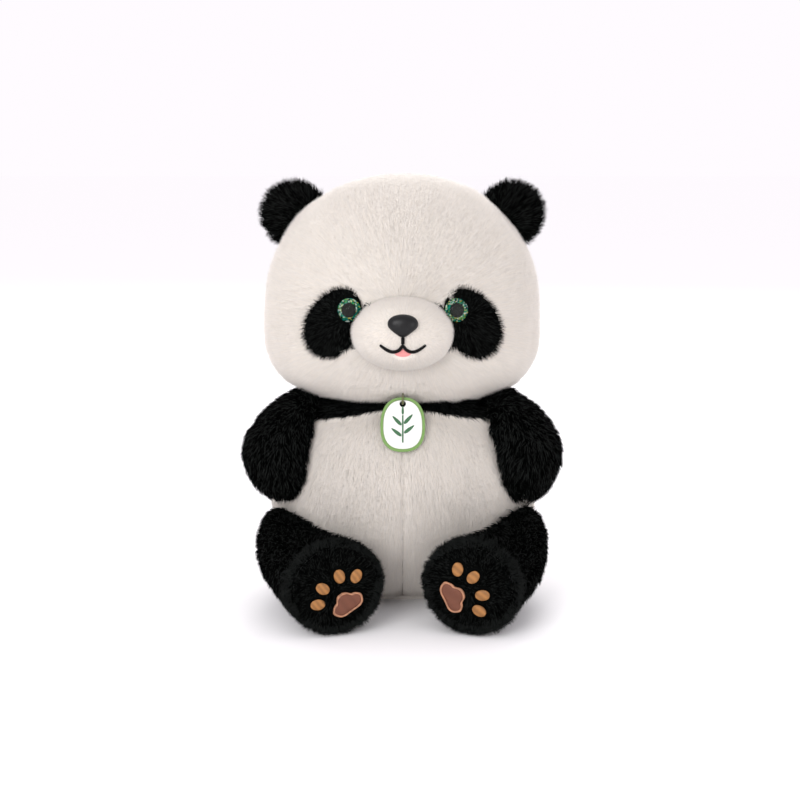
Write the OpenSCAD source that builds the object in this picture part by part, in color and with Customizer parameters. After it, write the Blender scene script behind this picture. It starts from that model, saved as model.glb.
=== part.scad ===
// Seated plush panda. The toy faces -Y, +Z is up and +X is the toy's own left.
// The origin is the bottom centre of the box around the whole toy.

/* [Head] */
// Width of the head across the cheeks
head_w = 193; // [150:1:240]
// Depth of the head from face to back
head_d = 143; // [110:1:180]
// Height of the crown above the widest line of the head
crown_h = 101; // [80:1:135]
// Height of the widest line of the head above the chin
chin_h = 49; // [38:1:62]
// Width of the muzzle
muzzle_w = 65; // [50:1:80]
// Height of the muzzle
muzzle_h = 45.6; // [36:0.2:56]
// How far the muzzle stands out of the face
muzzle_out = 25; // [18:1:32]
// Radius of each ear
ear_r = 21.5; // [18:0.5:28]
// Thickness of each ear
ear_t = 12; // [9:0.5:16]
// Width of the safety eye
eye_w = 16; // [12:0.5:18]
// Width of the black pupil
pupil_w = 10; // [7:0.5:11]
// Width of the nose
nose_w = 20; // [15:0.5:24]

/* [Body] */
// Width of the body at the belly
body_w = 188; // [150:1:225]
// Depth of the body from belly to back
body_d = 148; // [120:1:180]
// Height of the flat top of the body, under the chin
body_h = 152; // [125:1:185]
// Height of the belly's widest line
belly_z = 74; // [60:1:88]
// Height of the front edge of the black shoulder band
yoke_front_z = 145; // [135:1:148]

/* [Limbs] */
// Radius of the arm
arm_r = 23.5; // [18:0.5:26]
// Radius of the leg at the sole
leg_r = 30.5; // [25:0.5:34]
// How far the soles reach in front of the body's middle
leg_reach = 116; // [104:1:136]
// Half the distance between the two soles' middles
sole_x = 45; // [40:0.5:52]
// Distance from the main pad's middle to each toe pad's middle
toe_reach = 19.2; // [16:0.2:20]

/* [Tag] */
// Width of the hang tag
tag_w = 31; // [24:0.5:38]
// Height of the hang tag
tag_h = 38; // [30:0.5:46]
// Thickness of the hang tag
tag_t = 1.6; // [1:0.1:2.4]

/* [Cloth and gaps] */
// Thickness of the plush cloth with its pressed pile
cloth_t = 2.6; // [1.5:0.1:4]
// Gap between neighbouring pieces that are sewn or pressed together
fit = 0.4; // [0.3:0.05:0.8]
// Gap between pieces that move against each other
joint_gap = 1.1; // [0.8:0.1:2]
// Gap between the body and the roots of the arms and legs
limb_gap = 3.5; // [3:0.1:5]
// Room between a cover and its filling
filling_gap = 1.6; // [1.2:0.1:2.4]

/* [Hidden] */
// Which piece to draw, or all of them

// Steps round a large body, a limb and a small piece
around = 36;
limb_around = 24;
small_around = 24;

// The whole toy is moved back by this much so that its box is centred on the origin
seat_y = (leg_reach + 4.4 - body_d / 2) / 2;

head_z = body_h + joint_gap + chin_h;
head_at = [0, 0, head_z];
body_at = [0, 0, belly_z];
// Half width, front, back, up, down, then the squareness in plan, above and below
head_form = [head_w / 2, head_d / 2, head_d / 2, crown_h, chin_h * 1.13, 2.2, 2.2, 3.2];
body_form = [body_w / 2, body_d / 2, body_d / 2, (body_h - belly_z) * 1.13,
             belly_z * 1.09, 2.2, 2.4, 2.1];

yoke_side_z = yoke_front_z - 11;
yoke_back_z = yoke_front_z - 20;
base_t = 2.4;
bean_z = 36;

muzzle_z = head_z - 1.5;
muzzle_tip_y = -head_d / 2 - muzzle_out;
muzzle_square = 2.4;
nose_z = muzzle_z + 8.5;
nose_h = nose_w * 0.76;
nose_t = 7;
stem_r = 2;
nose_stem = 14;
nose_washer_r = 6;
mouth_r = 0.9;
mouth_half = 15.4;
tongue_t = 0.6;
eye_x = 35.6;
eye_z = head_z + 14;
eye_seat = cloth_t + 2 * fit;
eye_disc_t = 0.9;
patch_hole_r = 2.8;

ear_at = [0.4067 * head_w, 6, head_z + 0.7525 * crown_h];
ear_edge_t = 1.6;

pad_t = 0.9;
pad_edge_w = 1.3;
sole_t = 2.4;
left_print_turn = 27;
right_print_turn = 55;

tag_tilt = 16;
tag_hole_r = 2.2;
tag_hole_drop = 4.6;
tag_rim_w = 2;
tag_hang = [0, -63, body_h - 2];
cord_r = 0.7;

arm_path = [[42, -4, 112], [93, -24, 150], [87.5, -46, 128], [86, -46, 81]];
leg_path = [[50, 5, 45], [99, -38, 51], [52, 26 - leg_reach, 36], [sole_x, -leg_reach, 34]];
leg_low_z = 0.8;

// ---- vectors and surfaces -------------------------------------------------

function unit(v) = v / norm(v);
function mirror_x(v) = [-v.x, v.y, v.z];
function reversed(list) = [for (i = [len(list) - 1:-1:0]) list[i]];
function sum(list, i = 0) = i == len(list) - 1 ? list[i] : list[i] + sum(list, i + 1);
function grown(form, by) = [for (i = [0:7]) i < 5 ? form[i] + by : form[i]];

// How far out a point lies in a rounded form: 1 on its surface, less inside
function depth_of(form, p) =
  let (h = pow(pow(abs(p.x) / form[0], form[5]) + pow(abs(p.y) / (p.y < 0 ? form[1] : form[2]), form[5]),
               1 / form[5]),
       n = p.z > 0 ? form[6] : form[7])
  pow(pow(h, n) + pow(abs(p.z) / (p.z > 0 ? form[3] : form[4]), n), 1 / n);

// The point of a rounded form's surface in a given direction from its middle
function towards(form, d) = d / depth_of(form, d);

// A point of a rounded form's surface by its angle in plan and its height from -1 to 1
function on_level(form, angle, k) =
  let (n = k > 0 ? form[6] : form[7], s = pow(max(0, 1 - pow(abs(k), n)), 1 / n),
       flat = towards(form, [cos(angle), sin(angle), 0]))
  [s * flat.x, s * flat.y, k * (k > 0 ? form[3] : form[4])];
function level_of(form, z) = z > 0 ? z / form[3] : z / form[4];

// The outward direction of a rounded form's surface
function outward(form, p) =
  let (e = 0.01)
  unit([depth_of(form, p + [e, 0, 0]) - depth_of(form, p - [e, 0, 0]),
        depth_of(form, p + [0, e, 0]) - depth_of(form, p - [0, e, 0]),
        depth_of(form, p + [0, 0, e]) - depth_of(form, p - [0, 0, e])]);

// The front of the head straight in front of a point of the X-Z plane
function face_y(x, z) =
  let (f = head_form, dz = z - head_z,
       n = dz > 0 ? f[6] : f[7], m = f[5],
       level = pow(max(0, 1 - pow(abs(dz) / (dz > 0 ? f[3] : f[4]), n)), m / n))
  -f[1] * pow(max(0, level - pow(abs(x) / f[0], m)), 1 / m);

// The muzzle's outside at a point of the X-Z plane, made smaller by an amount
function muzzle_y(x, z, less = 0) =
  let (c = norm([x / (muzzle_w / 2 - less), (z - muzzle_z) / (muzzle_h / 2 - less)]),
       k = pow(max(0, 1 - pow(c, muzzle_square)), 1 / muzzle_square))
  (face_y(x, z) - fit) * (1 - k) + (muzzle_tip_y + less) * k;

// Moves a point that lies inside the body out to its surface and a gap beyond
function outside_body(p, gap) =
  let (f = grown(body_form, gap), d = p - body_at)
  depth_of(f, d) < 1 ? body_at + towards(f, d) : p;

// ---- grids of points and the solids between them ---------------------------

// A solid whose rows are closed rings. Its ends are tips, or strips, or it is a loop.
module skin(rows, ends = "tip") {
  m = len(rows);
  n = len(rows[0]);
  half = n / 2;
  last = ends == "loop" ? m - 1 : m - 2;
  points = concat([for (r = rows) each r], ends == "tip" ? [sum(rows[0]) / n, sum(rows[m - 1]) / n] : []);
  sides = [for (i = [0:last], j = [0:n - 1])
    let (a = i * n + j, b = i * n + (j + 1) % n, i2 = (i + 1) % m, c = i2 * n + (j + 1) % n, d = i2 * n + j)
    each [[a, d, c], [a, c, b]]];
  caps = ends == "tip"
    ? [for (j = [0:n - 1]) let (k = (j + 1) % n, e = (m - 1) * n)
        each [[j, k, m * n], [e + k, e + j, m * n + 1]]]
    : ends == "strip"
    ? [for (j = [0:half - 2]) let (k = n - 1 - j, e = (m - 1) * n)
        each [[j, j + 1, k - 1], [j, k - 1, k], [e + j, e + k - 1, e + j + 1], [e + j, e + k, e + k - 1]]]
    : [];
  polyhedron(points, concat(sides, caps));
}

// An open bag between an outside and an inside grid, closed at their last rows
module bag(outer, inner) skin(concat(reversed(inner), outer));
// A tube with walls between an outside and an inside grid
module sleeve(outer, inner) skin(concat(reversed(inner), outer), "loop");
// A sheet between an outside and an inside grid whose rows are open
module sheet(outer, inner) skin([for (i = [0:len(outer) - 1]) concat(outer[i], reversed(inner[i]))], "strip");

// Puts children, drawn with +Z outward, at a point with a direction
module facing(at, out) {
  u = unit(cross([0, 0, 1], out));
  v = cross(out, u);
  multmatrix([[u.x, v.x, out.x, at.x], [u.y, v.y, out.y, at.y], [u.z, v.z, out.z, at.z], [0, 0, 0, 1]])
    children();
}

// Turns the toy's left piece into its right one
module on_side(side) {
  if (side > 0) children();
  else mirror([1, 0, 0]) children();
}

// A round thread along a path
module thread(path, r, closed = false, steps = 8) {
  m = len(path);
  rows = [for (i = [0:m - 1])
    let (a = path[closed ? (i + m - 1) % m : max(i - 1, 0)],
         b = path[closed ? (i + 1) % m : min(i + 1, m - 1)],
         t = unit(b - a), side = abs(t.y) > 0.95 ? [1, 0, 0] : [0, 1, 0],
         u = unit(cross(side, t)), v = cross(t, u))
    [for (j = [0:steps - 1]) path[i] + r * (cos(360 * j / steps) * u + sin(360 * j / steps) * v)]];
  skin(rows, closed ? "loop" : "tip");
}

// ---- head ------------------------------------------------------------------

// A ring of the head at an angle from the front pole, with the chin pressed flat
function head_ring(angle, less, turn) =
  let (f = grown(head_form, -less), low = body_h + joint_gap + less)
  [for (j = [0:around - 1])
    let (a = turn * 360 * (j + 0.5) / around,
         p = head_at + towards(f, [sin(angle) * cos(a), -cos(angle), sin(angle) * sin(a)]))
    [p.x, p.y, max(p.z, low)]];
seam_angle = 95;
seam_half = 0.2;
function head_half(from, to, less, turn, steps = 11) =
  [for (i = [0:steps]) head_ring(from + (to - from) * i / steps, less, turn)];

module face_panel() color("white")
difference() {
  bag(head_half(seam_angle - seam_half, 4, 0, 1), head_half(seam_angle - seam_half, 4, cloth_t, 1));
  for (s = [1, -1]) eye_frame(s) translate([0, 0, -8]) cylinder(r = stem_r + fit, h = 16, $fn = 32);
}

module head_back_panel() color("white")
bag(head_half(seam_angle + seam_half, 176, 0, -1), head_half(seam_angle + seam_half, 176, cloth_t, -1));

module head_stuffing() color("ivory")
difference() {
  skin(head_half(175, 5, cloth_t + filling_gap, 1, 20));
  for (s = [1, -1]) eye_frame(s) translate([0, 0, -14]) cylinder(r = eye_w / 2 + 1.6, h = 14, $fn = 32);
}

// Puts children at an eye, with +Z out of the face
module eye_frame(side) {
  p = [side * eye_x, face_y(eye_x, eye_z), eye_z];
  facing(p, outward(head_form, p - head_at)) children();
}

// The eye patch is a slanting oval drawn round the eye, which is near its inner top
function patch_edge(a) =
  let (slant = 30, c = [46, head_z + 5], p = [17.2 * cos(a) * (1 - 0.08 * sin(a)), 24.8 * sin(a)])
  c + [p.x * cos(slant) - p.y * sin(slant), p.x * sin(slant) + p.y * cos(slant)];
module eye_patch() {
  // The edge keeps clear of the muzzle
  clear = [muzzle_w / 2 + 2 * fit + 0.6, muzzle_h / 2 + 2 * fit + 0.6];
  edge = [for (j = [0:small_around - 1])
    let (p = patch_edge(360 * j / small_around), q = [p.x / clear.x, (p.y - muzzle_z) / clear.y], s = norm(q))
    s < 1 ? [p.x / s, muzzle_z + (p.y - muzzle_z) / s] : p];
  eye = [eye_x, eye_z];
  hole = [for (e = edge) eye + patch_hole_r * unit(e - eye)];
  function at(lift) = [for (i = [0:5]) [for (j = [0:small_around - 1])
    let (q = edge[j] + (hole[j] - edge[j]) * i / 5, p = [q.x, face_y(q.x, q.y), q.y] - head_at)
    head_at + p + lift * outward(head_form, p)]];
  sleeve(at(fit + cloth_t), at(fit));
}
module left_eye_patch() color("black") eye_patch();
module right_eye_patch() color("black") on_side(-1) eye_patch();

module eye_glitter_disc(side) eye_frame(side) translate([0, 0, eye_seat])
difference() {
  cylinder(r = eye_w / 2, h = eye_disc_t, $fn = 48);
  translate([0, 0, -1]) cylinder(r = stem_r + 0.2, h = 3, $fn = 32);
}
module left_eye_glitter_disc() color("teal") eye_glitter_disc(1);
module right_eye_glitter_disc() color("teal") eye_glitter_disc(-1);

pupil_z = eye_seat + eye_disc_t + 0.3;
pupil_t = 0.8;
module eye_pupil(side) eye_frame(side) {
  translate([0, 0, pupil_z]) cylinder(r = pupil_w / 2, h = pupil_t, $fn = 48);
  translate([0, 0, -10]) cylinder(r = stem_r, h = pupil_z + 10.2, $fn = 32);
}
module left_eye_pupil() color("black") eye_pupil(1);
module right_eye_pupil() color("black") eye_pupil(-1);

module eye_dome(side) {
  r = eye_w / 2 - 0.1;
  h = eye_w * 0.28;
  ball = (r * r + h * h) / (2 * h);
  eye_frame(side) translate([0, 0, pupil_z])
  difference() {
    intersection() {
      translate([0, 0, h - ball]) sphere(r = ball, $fn = 64);
      cylinder(r = r + 1, h = h + 1, $fn = 48);
    }
    translate([0, 0, -1]) cylinder(r = pupil_w / 2 + 0.1, h = 1 + pupil_t + 0.1, $fn = 48);
  }
}
module left_eye_dome() color("lightcyan") eye_dome(1);
module right_eye_dome() color("lightcyan") eye_dome(-1);

washer_t = 1.4;
module washer(r, hole) difference() {
  cylinder(r = r, h = washer_t, $fn = 48);
  translate([0, 0, -1]) cylinder(r = hole, h = washer_t + 2, $fn = 32);
}
module eye_washer(side) eye_frame(side)
  translate([0, 0, -cloth_t - 0.9 - washer_t]) washer(eye_w / 2 + 0.8, stem_r + 0.1);
module left_eye_washer() color("white") eye_washer(1);
module right_eye_washer() color("white") eye_washer(-1);

function muzzle_grid(less, steps = 9) =
  [for (i = [0:steps])
    let (k = sin(88 * i / steps), c = pow(1 - pow(k, muzzle_square), 1 / muzzle_square))
    [for (j = [0:small_around - 1])
      let (a = 360 * j / small_around,
           x = (muzzle_w / 2 - less) * c * cos(a), z = muzzle_z + (muzzle_h / 2 - less) * c * sin(a))
      [x, (face_y(x, z) - fit) * (1 - k) + (muzzle_tip_y + less) * k, z]]];
// The nose rests on the part of the muzzle that stands out furthest behind it
nose_y = muzzle_y(0, max(muzzle_z, nose_z - nose_h / 2)) - fit;
module nose_bore(r, deep) translate([0, muzzle_y(0, nose_z) + deep, nose_z])
  rotate([90, 0, 0]) cylinder(r = r, h = deep + 6, $fn = 32);
module muzzle_cover() color("white")
difference() {
  bag(muzzle_grid(0), muzzle_grid(2.2));
  nose_bore(stem_r + fit, 6);
}
module muzzle_stuffing() color("ivory")
difference() {
  // Its back lies on the face, ring by ring
  skin(concat([for (s = [0.2, 0.6]) [for (j = [0:small_around - 1])
      let (a = 360 * j / small_around, x = s * (muzzle_w / 2 - 2.2 - fit) * cos(a),
           z = muzzle_z + s * (muzzle_h / 2 - 2.2 - fit) * sin(a))
      [x, face_y(x, z) - fit, z]]],
    muzzle_grid(2.2 + fit)));
  nose_bore(nose_washer_r + 2.2, nose_stem + 2 * fit);
}

module nose() color("dimgray") {
  y = nose_y;
  rows = [for (s = [[0, 0.84], [1.2, 0.97], [2.4, 1], [4, 0.93], [5.4, 0.78], [6.4, 0.55], [nose_t, 0.25]])
    [for (j = [0:small_around - 1])
      let (a = 360 * j / small_around)
      [nose_w / 2 * s[1] * cos(a) * (1 + 0.17 * sin(a)), y - s[0],
       nose_z + nose_h / 2 * s[1] * sin(a) - 0.12 * (s[0])]]];
  union() {
    skin(rows);
    translate([0, y + nose_stem, nose_z]) rotate([90, 0, 0])
      cylinder(r = stem_r, h = nose_stem + 1, $fn = 32);
  }
}
// The washer lies behind the cover, clear of the slope above the nose
module nose_washer() color("white")
  translate([0, muzzle_y(0, nose_z + nose_washer_r) + 2.2 + 1 + washer_t, nose_z])
  rotate([90, 0, 0]) washer(nose_washer_r, stem_r + 0.1);

function on_muzzle(x, z, lift) = [x, muzzle_y(x, z) - lift, z];
module mouth_stitching() color("black") {
  lift = mouth_r + tongue_t + 2 * fit;
  lip = [for (i = [-8:8]) let (x = i * mouth_half / 8, t = abs(i) / 8)
    on_muzzle(x, muzzle_z - 5.2 - 4.4 * sin(180 * pow(t, 0.8)) + 0.2 * t, lift)];
  thread(lip, mouth_r);
  thread([for (i = [0:4]) on_muzzle(0, muzzle_z + 0.2 - i, lift)], mouth_r);
}
module tongue() {
  function at(lift) = [for (i = [0:3]) [for (j = [0:15])
    let (a = 22.5 * j, s = [1, 0.7, 0.4, 0.12][i])
    on_muzzle(5.6 * s * cos(a), muzzle_z - 10.4 + 2.7 * s * sin(a), lift)]];
  color("pink") skin(concat(reversed(at(fit)), at(fit + tongue_t)));
}

// The ear's outline stops where it meets the head
function clear_of_head(a, r) =
  depth_of(grown(head_form, joint_gap), ear_at - head_at + r * [cos(a), 0, sin(a)]) >= 1;
function ear_reach(a, lo = 0, hi = ear_r, n = 14) =
  clear_of_head(a, hi) ? hi
  : n == 0 ? lo
  : let (mid = (lo + hi) / 2)
    clear_of_head(a, mid) ? ear_reach_between(a, mid, hi, n - 1) : ear_reach_between(a, lo, mid, n - 1);
function ear_reach_between(a, lo, hi, n) =
  n == 0 ? lo
  : let (mid = (lo + hi) / 2)
    clear_of_head(a, mid) ? ear_reach_between(a, mid, hi, n - 1) : ear_reach_between(a, lo, mid, n - 1);
module ear_half(front) {
  way = front ? -1 : 1;
  reach = [for (j = [0:small_around - 1]) ear_reach(360 * way * -j / small_around)];
  thick = ear_t / 2 - fit / 2;
  function row(s, h) = [for (j = [0:small_around - 1])
    let (a = 360 * way * -j / small_around)
    ear_at + [s * reach[j] * cos(a), way * (fit / 2 + h), s * reach[j] * sin(a)]];
  function crown(s) = ear_edge_t / 2 + (thick - ear_edge_t / 2) * sqrt(1 - s * s);
  skin(concat([for (s = [0.1, 0.55, 0.97]) row(s, 0)],
              [for (s = [1, 0.93, 0.8, 0.6, 0.35, 0.1]) row(s, crown(s))]));
}
module left_ear_front() color("black") ear_half(true);
module left_ear_back() color("black") ear_half(false);
module right_ear_front() color("black") on_side(-1) ear_half(true);
module right_ear_back() color("black") on_side(-1) ear_half(false);

// ---- body ------------------------------------------------------------------

function yoke_z(a) =
  let (s = -sin(a))
  s > 0 ? yoke_side_z + (yoke_front_z - yoke_side_z) * pow(s, 3)
        : yoke_side_z + (yoke_back_z - yoke_side_z) * pow(-s, 2);
// A row of the body between the base and the shoulder band
function body_row(t, angles, less, gap) =
  let (f = grown(body_form, -less))
  [for (a = angles)
    let (k0 = level_of(f, base_t + fit - belly_z), k1 = level_of(f, yoke_z(a) - gap - belly_z),
         lat = asin(k0) + (asin(k1) - asin(k0)) * t)
    body_at + on_level(f, a, sin(lat))];
side_seam = 8;
function angles(from, to, n) = [for (j = [0:n]) from + (to - from) * j / n];
seam_turn = 0.16;
module white_panel(from, to, n) {
  a = angles(from + seam_turn, to - seam_turn, n);
  function rows(less) = [for (i = [0:10]) body_row(i / 10, a, less, fit / 2)];
  sheet(rows(0), rows(cloth_t));
}
module left_belly_panel() color("white") white_panel(-90, side_seam, 9);
module right_belly_panel() color("white") white_panel(-180 - side_seam, -90, 9);
module back_panel() color("white") white_panel(side_seam, 180 - side_seam, 15);

// The band runs from the white panels up and over the flat top of the body
function band_grid(less) =
  let (f = grown(body_form, -less), top = body_h - less, k1 = level_of(f, top - belly_z))
  concat([for (i = [0:4]) [for (a = angles(0, 360 - 360 / around, around - 1))
      let (k0 = level_of(f, yoke_z(a) + fit / 2 - belly_z), lat = asin(k0) + (asin(k1) - asin(k0)) * i / 4)
      body_at + on_level(f, a, sin(lat))]],
    [for (s = [0.75, 0.5, 0.2]) [for (a = angles(0, 360 - 360 / around, around - 1))
      let (p = on_level(f, a, k1)) body_at + [p.x * s, p.y * s, p.z]]]);
module shoulder_yoke() color("black") bag(band_grid(0), band_grid(cloth_t));

module base_panel() color("white")
linear_extrude(base_t)
  polygon([for (a = angles(0, 360 - 360 / around, around - 1))
    let (p = on_level(body_form, a, level_of(body_form, base_t + fit - belly_z))) [p.x, p.y]]);

function filling(z0, z1, less, steps) =
  let (f = grown(body_form, -less), k0 = level_of(f, z0 - belly_z), k1 = level_of(f, z1 - belly_z))
  [for (i = [0:steps])
    let (k = sin(asin(k0) + (asin(k1) - asin(k0)) * i / steps))
    [for (a = angles(0, 360 - 360 / limb_around, limb_around - 1)) body_at + on_level(f, a, k)]];
module torso_stuffing() color("ivory")
  skin(filling(bean_z + fit, body_h - cloth_t - filling_gap, cloth_t + filling_gap, 12));
module bean_bag() color("tan")
  skin(filling(base_t + 2 * fit, bean_z, cloth_t + filling_gap, 5));

// The seam that holds the head runs round the flat top of the body
module neck_stitching() color("white") {
  k = level_of(body_form, body_h - belly_z);
  path = [for (a = angles(0, 360 - 360 / around, around - 1))
    let (p = body_at + on_level(body_form, a, k), out = unit([p.x, p.y, 0])) p + 1.1 * out + [0, 0, -0.1]];
  thread(reversed(path), 0.35, true, 6);
}

// ---- arms and legs ---------------------------------------------------------

function bezier(c, s) = let (q = 1 - s)
  q * q * q * c[0] + 3 * q * q * s * c[1] + 3 * q * s * s * c[2] + s * s * s * c[3];
function bezier_way(c, s) = let (q = 1 - s)
  unit(q * q * (c[1] - c[0]) + 2 * q * s * (c[2] - c[1]) + s * s * (c[3] - c[2]));
// A point of a limb's outside: how far along the limb's line, and which way round
function limb_point(c, s, j, r, side) =
  let (t = bezier_way(c, s), u = unit(cross(side, t)), v = cross(t, u), a = 360 * j / limb_around)
  bezier(c, s) + r * (cos(a) * u + sin(a) * v);
// How far along its line each strip of a limb comes out of the body
function leaves(c, j, r_at, side, gap, lo = 0, hi = 0.9, n = 12) =
  n == 0 ? hi
  : let (mid = (lo + hi) / 2, p = limb_point(c, mid, j, r_at(mid), side))
    depth_of(grown(body_form, gap), p - body_at) < 1
    ? leaves(c, j, r_at, side, gap, mid, hi, n - 1) : leaves(c, j, r_at, side, gap, lo, mid, n - 1);
// The rows of a limb from the body to its end, as far as a gap from the body
function limb_grid(c, r_at, side, steps, gap) =
  let (from = [for (j = [0:limb_around - 1]) leaves(c, j, r_at, side, gap)])
  [for (t = steps) [for (j = [0:limb_around - 1])
    let (s = from[j] + (1 - from[j]) * t) outside_body(limb_point(c, s, j, r_at(s), side), gap)]];

arm_round = 0.72;
arm_long = 95;
arm_steps = [0, 0.1, 0.22, 0.34, 0.46, 0.58, 0.7, 0.79, 0.87, 0.93, 0.97, 0.993];
// The arm rests against the body and stays below everything the head sweeps over
function under_head(p, gap) =
  let (wide = head_form[0] + gap, r = min(1, norm([p.x, p.y]) / wide),
       top = head_z - (head_form[4] + gap) * pow(1 - pow(r, head_form[7]), 1 / head_form[7]))
  [p.x, p.y, min(p.z, max(top, body_h - 0.4 - gap + joint_gap))];
function arm_grid(less) =
  let (r_at = function (s) let (q = min(1, s * (1 + less / arm_long)))
      (arm_r - less) * (0.9 + 0.1 * min(1, s / 0.6))
      * (q < arm_round ? 1 : max(0.06, sqrt(max(0, 1 - pow((q - arm_round) / (1 - arm_round), 2))))))
  [for (row = limb_grid(arm_path, r_at, [0, 1, 0], arm_steps * (1 - less / arm_long), limb_gap + less))
    [for (p = row) under_head(p, joint_gap + less)]];
module arm_cover() bag(arm_grid(0), arm_grid(cloth_t));
module arm_stuffing() skin(limb_filling(arm_grid(cloth_t + filling_gap), cloth_t + filling_gap));
// A filling's root lies on the body, ring by ring
function limb_filling(g, less) =
  let (middle = sum(g[0]) / len(g[0]))
  concat([for (s = [0.2, 0.6]) [for (p = g[0]) outside_body(middle + s * (p - middle), limb_gap + less)]], g);
module left_arm_cover() color("black") arm_cover();
module right_arm_cover() color("black") on_side(-1) arm_cover();
module left_arm_stuffing() color("ivory") arm_stuffing();
module right_arm_stuffing() color("ivory") on_side(-1) arm_stuffing();

sole_r = leg_r - 2.2;
leg_steps = [0, 0.12, 0.25, 0.4, 0.55, 0.7, 0.83, 0.93, 0.96, 0.985, 1];
function leg_grid(less) =
  let (r_at = function (s) leg_r - 2.5 * (1 - s) - less
      - (s > 0.94 ? (leg_r - sole_r) * (1 - sqrt(max(0, 1 - pow((s - 0.94) / 0.06, 2)))) : 0))
  [for (row = limb_grid(leg_path, r_at, [0, 0, 1], leg_steps, limb_gap + less))
    [for (p = row) [p.x, p.y, max(p.z, leg_low_z + less)]]];
sole_way = bezier_way(leg_path, 1);
module leg_cover() sleeve(leg_grid(0), leg_grid(cloth_t));
// The filling stops behind the sole
module leg_stuffing() {
  less = cloth_t + filling_gap;
  g = leg_grid(less);
  n = len(g) - 1;
  back = (sole_t + fit) * sole_way;
  skin(limb_filling([for (i = [0:n]) i < n - 2 ? g[i] : [for (p = g[i]) p - back]], less));
}
module left_leg_cover() color("black") leg_cover();
module right_leg_cover() color("black") on_side(-1) leg_cover();
module left_leg_stuffing() color("ivory") leg_stuffing();
module right_leg_stuffing() color("ivory") on_side(-1) leg_stuffing();

// Puts children at a sole, with +Z out of it, +X to the toy's left and +Y up
module sole_frame(side) {
  out = side > 0 ? sole_way : mirror_x(sole_way);
  at = side > 0 ? leg_path[3] : mirror_x(leg_path[3]);
  facing(at, out) children();
}
module sole_panel(side) sole_frame(side)
  translate([0, 0, -sole_t]) cylinder(r = sole_r - cloth_t - fit, h = sole_t + 0.6, $fn = 64);
module left_sole_panel() color("black") sole_panel(1);
module right_sole_panel() color("black") sole_panel(-1);

// The print's own axes: +Y runs from the main pad to the toe pads
module print_frame(side) sole_frame(side) translate([0, 0, 0.6 + 0.3])
  rotate([0, 0, side > 0 ? left_print_turn - 90 : 90 - right_print_turn])
  translate([0, -11.2, 0]) children();
function pad_outline(grow) =
  [for (j = [0:35]) let (a = 10 * j, x = (11.4 + grow) * cos(a))
    [x, (5 + grow) * sin(a) * (1 + 0.24 * cos(3 * (a - 90))) - 0.022 * x * x + 1]];
module main_pad(side) print_frame(side) linear_extrude(pad_t) polygon(pad_outline(-pad_edge_w));
module pad_edging(side) print_frame(side) linear_extrude(pad_t + 0.3)
difference() {
  polygon(pad_outline(0));
  polygon(pad_outline(-pad_edge_w + 0.15));
}
module toe_pads(side) print_frame(side)
  for (a = [-56, -21, 21, 56]) rotate([0, 0, a]) translate([0, toe_reach, 0])
    linear_extrude(pad_t) polygon([for (j = [0:23]) [3.7 * cos(15 * j), 4.9 * sin(15 * j)]]);
module left_main_pad() color("saddlebrown") main_pad(1);
module right_main_pad() color("saddlebrown") main_pad(-1);
module left_pad_edging() color("burlywood") pad_edging(1);
module right_pad_edging() color("burlywood") pad_edging(-1);
module left_toe_pads() color("peru") toe_pads(1);
module right_toe_pads() color("peru") toe_pads(-1);

// ---- tag -------------------------------------------------------------------

// A rounded outline, a little fuller than an ellipse and wider below
function rounded(c) = sign(c) * pow(abs(c), 0.82);
function egg(w, h) =
  [for (j = [0:47]) let (a = 7.5 * j)
    [w / 2 * rounded(cos(a)) * (1 - 0.05 * sin(a)), h / 2 * rounded(sin(a))]];
tag_field = [tag_w - 2 * tag_rim_w, tag_h - 2 * tag_rim_w];
// Puts children at the tag's hole, with +Z out of the tag and +Y up along it
module tag_frame() translate(tag_hang) rotate([90 - tag_tilt, 0, 0]) children();
module tag_hole() translate([0, 0, -3]) cylinder(r = tag_hole_r, h = 8, $fn = 32);
tag_mid = tag_hole_drop - tag_h / 2;
module tag_plate() color("white") tag_frame()
difference() {
  translate([0, tag_mid, 0]) linear_extrude(tag_t) polygon(egg(tag_field.x - 0.2, tag_field.y - 0.2));
  tag_hole();
}
module tag_rim() color("olivedrab") tag_frame()
translate([0, tag_mid, -0.3]) linear_extrude(tag_t + 0.9)
difference() {
  polygon(egg(tag_w, tag_h));
  polygon(egg(tag_field.x, tag_field.y));
}
// A bamboo sprig: a stem and five pointed leaves
module leaf(at, turn, long) translate(at) rotate([0, 0, turn])
  polygon([for (j = [0:11]) let (a = 30 * j)
    [long / 2 + long / 2 * cos(a), long * 0.13 * sin(a) * (1 - 0.35 * cos(a))]]);
module tag_motif() color("darkgreen") tag_frame()
translate([0, tag_mid, tag_t + 0.05]) linear_extrude(0.35) {
  translate([-0.5, -12.5]) square([1, 19]);
  leaf([0.9, -6], 38, 9);
  leaf([-0.9, -8], 142, 9);
  leaf([0.9, 0.5], 48, 9);
  leaf([-0.9, -0.5], 134, 9);
  leaf([0, 6.9], 90, 6);
}
// The cord runs from the neck seam through the hole, over the rim and back
module tag_cord() color("olive") {
  h = tag_hang;
  route = [[1.3, -47, 0.2], [0.8, -54, 0.4], [0, -60.5, -0.3], [0, -63.2, 0.2], [0, -66, 0.9],
           [0, -67.2, 3.6], [0, -66.4, 6.3], [0, -63.8, 7.2], [0, -61.2, 5.6], [0, -58.6, 2.6],
           [-0.8, -53, 1.0], [-1.3, -47, 0.9]];
  thread([for (p = route) p + [0, 0, h.z]], cord_r);
}

// ---- pieces, set on the origin ---------------------------------------------

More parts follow.
